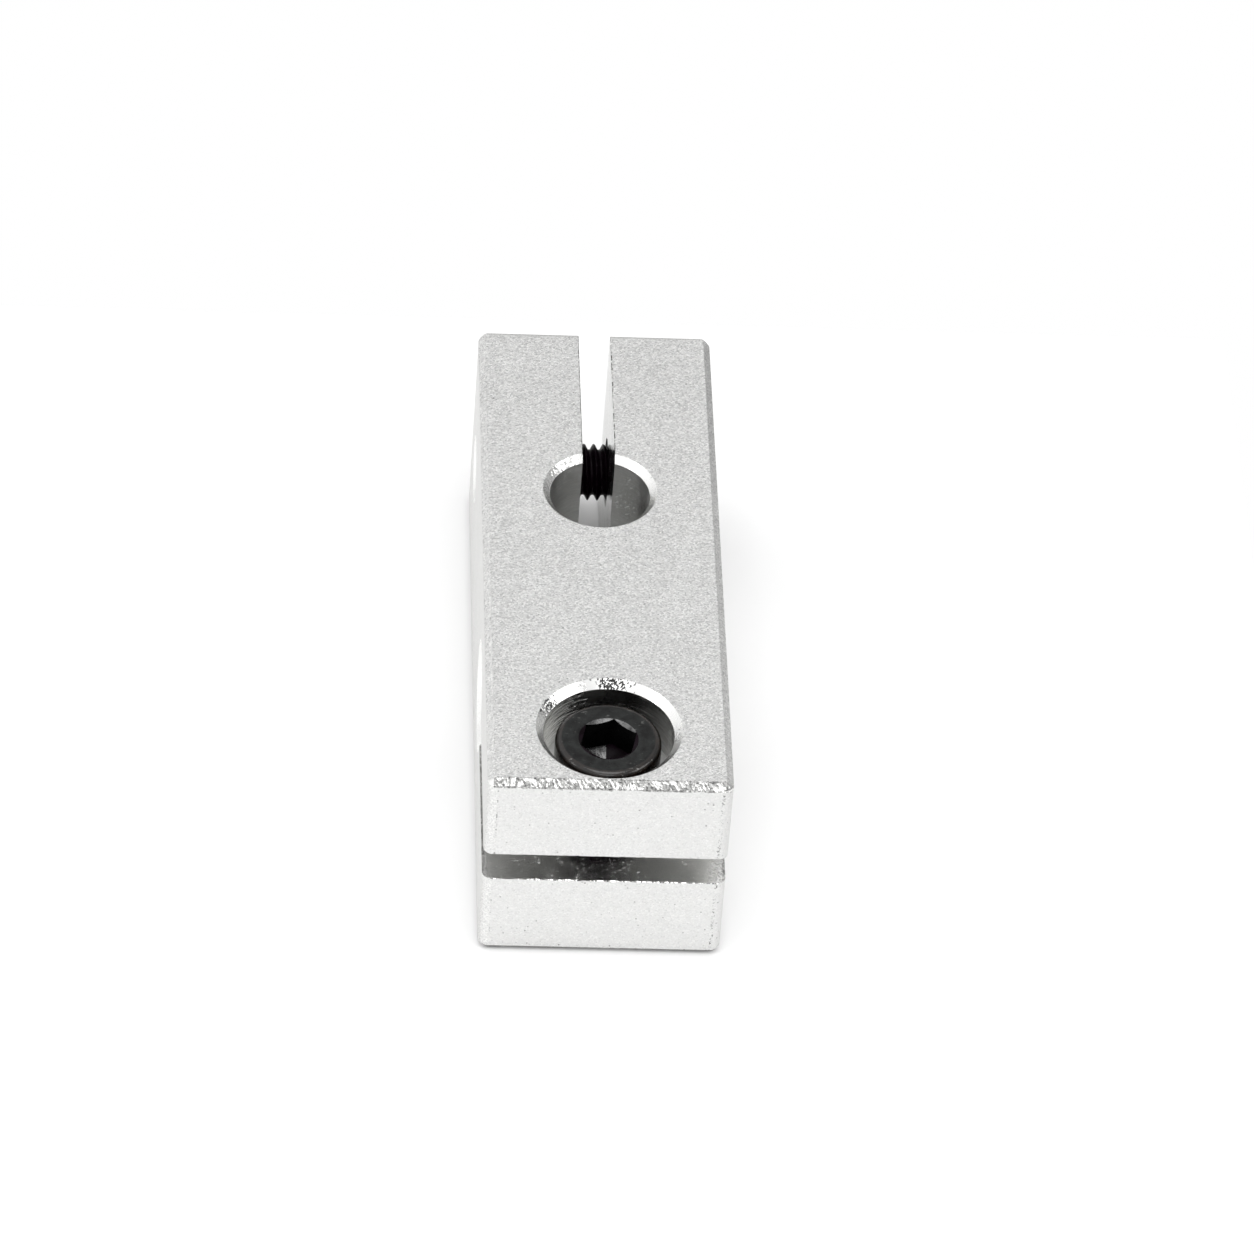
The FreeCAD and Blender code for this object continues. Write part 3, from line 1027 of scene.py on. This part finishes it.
def headRows():
    # (radius, height, finish of the strip that ends there) from the neck to the socket's rim
    look = screwSet
    seat = look["length"]
    top = seat + look["headHeight"]
    r = look["headRadius"]
    rim = look["rimRound"]
    rows = [(look["neckRadius"] + look["neckFillet"], seat, "blackOxide")]
    rows += [(r - inward, seat + up, "blackOxide") for inward, up in look["seatEdge"]]
    rows.append((r, top - rim, "rubbedOxide"))
    for i in range(1, look["rimSteps"] + 1):
        a = math.radians(90 * i / look["rimSteps"])
        rows.append((r - rim + rim * math.cos(a), top - rim + rim * math.sin(a), "rubbedOxide"))
    rows += [(radius, top, "blackOxide") for radius in look["faceRings"]]
    edge = look["socketFlats"] / 2 + look["socketRim"]
    rows += [(edge + outward, top - down, "blackOxide") for outward, down in look["socketLip"]]
    return rows


def socketRings(bm, angles):
    # coned rim, hexagon and drilled cone, each with the finish of the strip that ends there
    look = screwSet
    top = look["length"] + look["headHeight"]
    floor = top - look["socketDepth"]
    slope = math.tan(math.radians(look["coneAngle"]))
    edge = look["socketFlats"] / 2 + look["socketRim"]
    hexagon = [socketRadius(a) for a in angles]
    rims = [top - (edge - radius) * slope for radius in hexagon]
    rings = []
    for share in (*look["steps"], 0.0):
        heights = [floor + (rim - floor) * share for rim in rims]
        finish = "socketBlack" if rings else "wornLitRim"
        rings.append((ringOf(bm, angles, hexagon, heights), finish))
    for share in look["steps"]:
        radius = look["drillRadius"] * share
        z = floor - look["drillRadius"] * (1 - share) * slope
        rings.append((ringOf(bm, angles, [radius] * len(angles), [z] * len(angles)), "litDrilledFloor"))
    return rings, floor - look["drillRadius"] * slope


def makeScrew(name, node, body, place, phase):
    look = screwSet
    turned = math.radians(look["socketTurn"])
    rimEnd = math.radians(look["litRimTo"])
    bm = bmesh.new()
    root = threadSet["root"]
    crest = threadSet["crest"]
    low, high = threadRings(bm, 0.0, look["length"], root, crest, shankLimit, phase)
    bm.faces.new(low[::-1])
    dark = oxideOrder.index("threadBlack")
    for face in bm.faces:
        face.material_index = dark
    angles = [angleOf(v) for v in high]
    count = len(angles)
    rings = [(ringOf(bm, angles, [r] * count, [z] * count), finish) for r, z, finish in headRows()]
    inner, bottom = socketRings(bm, angles)
    last = high
    for ring, finish in rings + inner:
        for face, a in zip(bridge(bm, last, ring, oxideOrder.index(finish)), angles):
            # painted highlight: the bare rim only on its lit far side; the rest of the rim takes the dark
            # thread finish as painted shade
            if finish == "wornLitRim" and not 0 < a < rimEnd:
                face.material_index = dark
            # painted light: the drilled cone is bare and lit on one half, and takes the dark thread finish
            # as painted shade on the other
            elif finish == "litDrilledFloor" and math.cos(a + turned) >= 0:
                face.material_index = dark
        last = ring
    apex = bm.verts.new((0, 0, bottom))
    for i in range(count):
        face = bm.faces.new((last[i], last[(i + 1) % count], apex))
        face.material_index = oxideOrder.index("socketBlack")
    bm.transform(place @ Matrix.Rotation(turned, 4, "Z"))
    screw = meshObject(name, bm, oxides.values(), mm)
    screw.data.shade_smooth()
    screw.data.set_sharp_from_angle(angle=math.radians(look["sharpFrom"]))
    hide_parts(node)
    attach(screw, body)
    print(name, "made:", len(screw.data.polygons), "faces")


def makeScrews():
    look = blockSet
    reach = look["counterboreDepth"] + screwSet["length"]
    upright = Matrix.Translation((0, look["frontScrewY"], look["height"] - reach))
    level = Matrix.Translation((look["width"] / 2 - reach, look["rearScrewY"], look["height"] / 2))
    level = level @ Matrix.Rotation(math.radians(90), 4, "Y")
    makeScrew("frontScrew", "front_clamp_screw", "front_screw", upright, 0.0)
    makeScrew("rearScrew", "rear_clamp_screw", "rear_screw", level, threadSet["phase"])


makeScrews()
